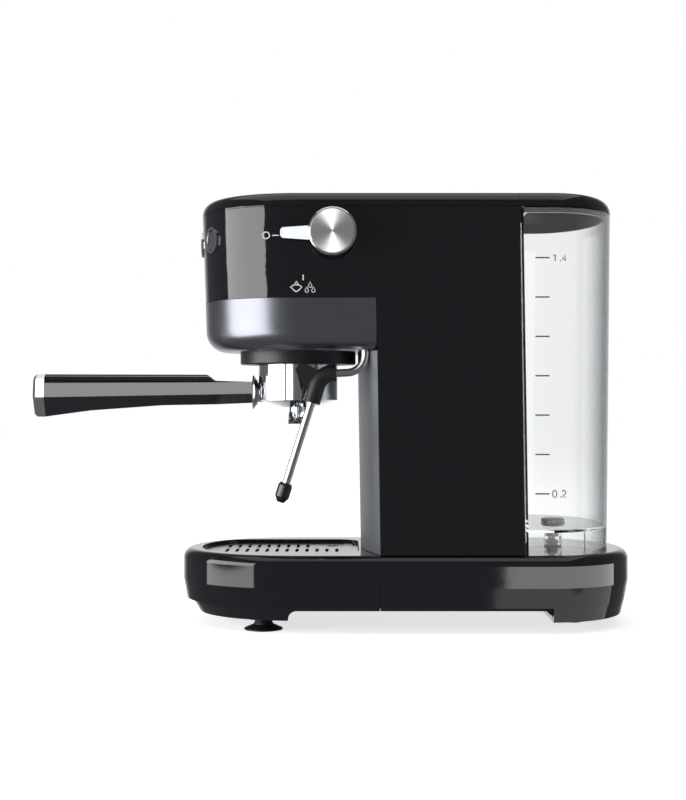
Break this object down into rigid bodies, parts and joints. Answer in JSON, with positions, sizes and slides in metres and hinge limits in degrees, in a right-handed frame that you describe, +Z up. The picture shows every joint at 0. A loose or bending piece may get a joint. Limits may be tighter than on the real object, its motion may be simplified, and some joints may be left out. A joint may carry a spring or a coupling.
{
  "type": "espresso machine",
  "caption": "Slim pump espresso machine with round head, filter holder, steam wand, clear rear water tank and drip tray base",
  "frame": {"origin": "centre of the whole's footprint box, on the surface it stands on", "axes": "+Z up, -Y towards the user and along the filter holder's handle, +X to the user's right"},
  "size_m": [0.165, 0.434, 0.305],
  "materials": {
    "gloss_black": "high gloss moulded ABS",
    "satin_metallic": "satin metallic lacquer on a moulding",
    "satin_black": "fine textured moulding",
    "chrome": "polished chrome plate",
    "brushed_steel": "brushed stainless steel",
    "turned_aluminium": "turned face",
    "cast_aluminium": "die cast, as cast",
    "brass": "machined",
    "rubber": "moulded rubber",
    "silicone": "translucent silicone",
    "clear_plastic": "clear moulded SAN",
    "grey_plastic": "moulded nylon",
    "circuit_board": "green solder mask",
    "zinc_steel": "zinc plated steel"
  },
  "bodies": {
    "machine": {"casing": "gloss_black", "column_cover": "satin_metallic", "head_band": "satin_metallic", "top_cover": "gloss_black", "cup_plate": "brushed_steel", "back_panel": "satin_black", "base_housing": "gloss_black", "base_plate": "satin_black", "suction_feet": "rubber", "rear_feet": "rubber", "screws": "zinc_steel", "cord_gland": "rubber", "group_collar": "satin_black", "group_head": "cast_aluminium", "group_gasket": "rubber", "shower_screen": "brushed_steel", "steam_valve": "brass", "wand_nut": "brass", "button_bezels": "chrome", "switch_carrier": "satin_black", "button_switches": "grey_plastic", "control_board": "circuit_board", "tank_spigot": "grey_plastic", "spigot_seal": "rubber", "boiler_lower": "cast_aluminium", "boiler_gasket": "rubber", "boiler_upper": "cast_aluminium", "heating_element": "brushed_steel", "thermostats": "grey_plastic", "boiler_bolts": "zinc_steel", "pump_body": "grey_plastic", "pump_coil": "zinc_steel", "pump_mounts": "rubber", "suction_tube": "silicone", "pressure_tubes": "silicone"},
    "portafilter": {"portafilter_bowl": "chrome", "filter_basket": "brushed_steel", "basket_spring": "zinc_steel", "twin_spout": "chrome", "handle_grip": "gloss_black", "handle_cap": "chrome", "handle_ring": "chrome", "handle_bolt": "zinc_steel"},
    "steam_knob": {"knob_lever": "chrome", "knob_face": "turned_aluminium", "valve_stem": "brass"},
    "steam_wand": {"wand_pipe": "chrome", "wand_grip": "rubber", "wand_nozzle": "satin_black"},
    "left_button": {"button_left": "satin_metallic"},
    "middle_button": {"button_middle": "satin_metallic"},
    "right_button": {"button_right": "satin_metallic"},
    "tank": {"water_tank": "clear_plastic", "tank_filter": "grey_plastic", "valve_spring": "zinc_steel"},
    "poppet": {"valve_poppet": "rubber"},
    "lid": {"tank_lid": "gloss_black"},
    "tray": {"drip_tray": "gloss_black"},
    "grid": {"drip_grid": "brushed_steel"},
    "float": {"level_float": "satin_black"}
  },
  "joints": [
    {"name": "portafilter_turn", "type": "hinge", "parent": "machine", "child": "portafilter", "pos_m": [-0.0085, -0.024, 0.1871], "axis": [0, 0, 1], "range_deg": [-45, 0]},
    {"name": "steam_knob_turn", "type": "hinge", "parent": "machine", "child": "steam_knob", "pos_m": [0.0615, 0.0019, 0.2754], "axis": [1, 0, 0], "range_deg": [0, 90]},
    {"name": "steam_wand_swing", "type": "hinge", "parent": "machine", "child": "steam_wand", "pos_m": [0.0425, 0.0244, 0.196], "axis": [0, 0, 1], "range_deg": [0, 60]},
    {"name": "tank_lift", "type": "slide", "parent": "machine", "child": "tank", "axis": [0, 0, 1], "range_m": [0, 0.25]},
    {"name": "poppet_lift", "type": "slide", "parent": "tank", "child": "poppet", "axis": [0, 0, 1], "range_m": [0, 0.003], "stiffness_N_per_m": 150, "springref_m": -0.003, "deforming": ["valve_spring"]},
    {"name": "lid_lift", "type": "slide", "parent": "tank", "child": "lid", "axis": [0, 0, 1], "range_m": [0, 0.04]},
    {"name": "tray_slide", "type": "slide", "parent": "machine", "child": "tray", "axis": [0, -1, 0], "range_m": [0, 0.19]},
    {"name": "grid_lift", "type": "slide", "parent": "tray", "child": "grid", "axis": [0, 0, 1], "range_m": [0, 0.03]},
    {"name": "float_rise", "type": "slide", "parent": "tray", "child": "float", "axis": [0, 0, 1], "range_m": [0, 0.008]},
    {"name": "left_button_press", "type": "slide", "parent": "machine", "child": "left_button", "axis": [0.5, 0.866, 0], "range_m": [0, 0.0016], "stiffness_N_per_m": 600},
    {"name": "middle_button_press", "type": "slide", "parent": "machine", "child": "middle_button", "axis": [0, 1, 0], "range_m": [0, 0.0016], "stiffness_N_per_m": 600},
    {"name": "right_button_press", "type": "slide", "parent": "machine", "child": "right_button", "axis": [-0.5, 0.866, 0], "range_m": [0, 0.0016], "stiffness_N_per_m": 600}
  ]
}
